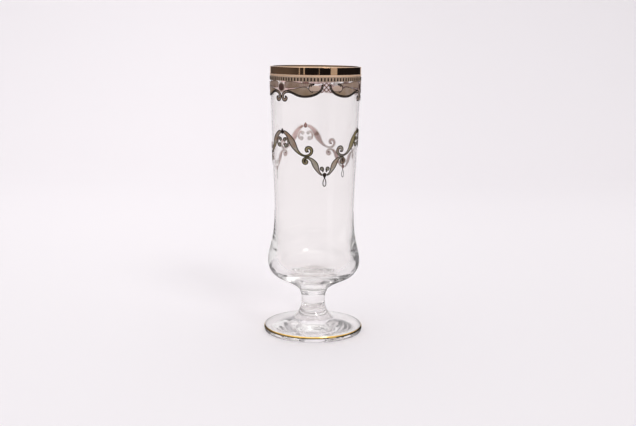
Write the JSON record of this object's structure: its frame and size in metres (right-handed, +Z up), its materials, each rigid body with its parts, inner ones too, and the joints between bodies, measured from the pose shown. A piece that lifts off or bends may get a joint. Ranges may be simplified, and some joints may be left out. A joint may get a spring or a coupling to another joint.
{
  "type": "footed beer glass",
  "caption": "Tall footed beer glass in clear glass with a flared bowl, a thick bulged base, a short stem and a round foot, gilded at the rim, in a scroll border and in a hanging garland.",
  "frame": {"origin": "middle of the foot's resting plane, on the axis of the glass", "axes": "+Z up along the axis of the glass, towards the rim; -Y towards the viewer of the picture"},
  "size_m": [0.0748, 0.0748, 0.2],
  "materials": {
    "clear_glass": "clear and polished",
    "polished_gold": "burnished fired gold",
    "line_gold": "satin fired gold with dark outlines"
  },
  "bodies": {
    "root": {"bowl": "clear_glass", "stem": "clear_glass", "foot": "clear_glass", "rim_gilding": "polished_gold", "gold_line": "polished_gold", "foot_line": "polished_gold", "tick_band": "line_gold", "border_lattice_1": "line_gold", "border_lattice_2": "line_gold", "border_lattice_3": "line_gold", "border_roundel_1": "polished_gold", "border_roundel_2": "polished_gold", "border_roundel_3": "polished_gold", "border_scroll_1_left": "line_gold", "border_scroll_1_right": "line_gold", "border_scroll_2_left": "line_gold", "border_scroll_2_right": "line_gold", "border_scroll_3_left": "line_gold", "border_scroll_3_right": "line_gold", "border_volute_1_left": "line_gold", "border_volute_1_right": "line_gold", "border_volute_2_left": "line_gold", "border_volute_2_right": "line_gold", "border_volute_3_left": "line_gold", "border_volute_3_right": "line_gold", "garland_peak_1": "polished_gold", "garland_peak_2": "polished_gold", "garland_peak_3": "polished_gold", "garland_knot_1": "polished_gold", "garland_knot_2": "polished_gold", "garland_knot_3": "polished_gold", "garland_pendant_1": "line_gold", "garland_pendant_2": "line_gold", "garland_pendant_3": "line_gold", "garland_leaf_1_left": "line_gold", "garland_leaf_1_right": "line_gold", "garland_leaf_2_left": "line_gold", "garland_leaf_2_right": "line_gold", "garland_leaf_3_left": "line_gold", "garland_leaf_3_right": "line_gold", "garland_curl_1_left": "line_gold", "garland_curl_1_right": "line_gold", "garland_curl_2_left": "line_gold", "garland_curl_2_right": "line_gold", "garland_curl_3_left": "line_gold", "garland_curl_3_right": "line_gold", "garland_swag_1_left": "line_gold", "garland_swag_1_right": "line_gold", "garland_swag_2_left": "line_gold", "garland_swag_2_right": "line_gold", "garland_swag_3_left": "line_gold", "garland_swag_3_right": "line_gold", "garland_bud_1_left": "line_gold", "garland_bud_1_right": "line_gold", "garland_bud_2_left": "line_gold", "garland_bud_2_right": "line_gold", "garland_bud_3_left": "line_gold", "garland_bud_3_right": "line_gold"}
  },
  "joints": []
}
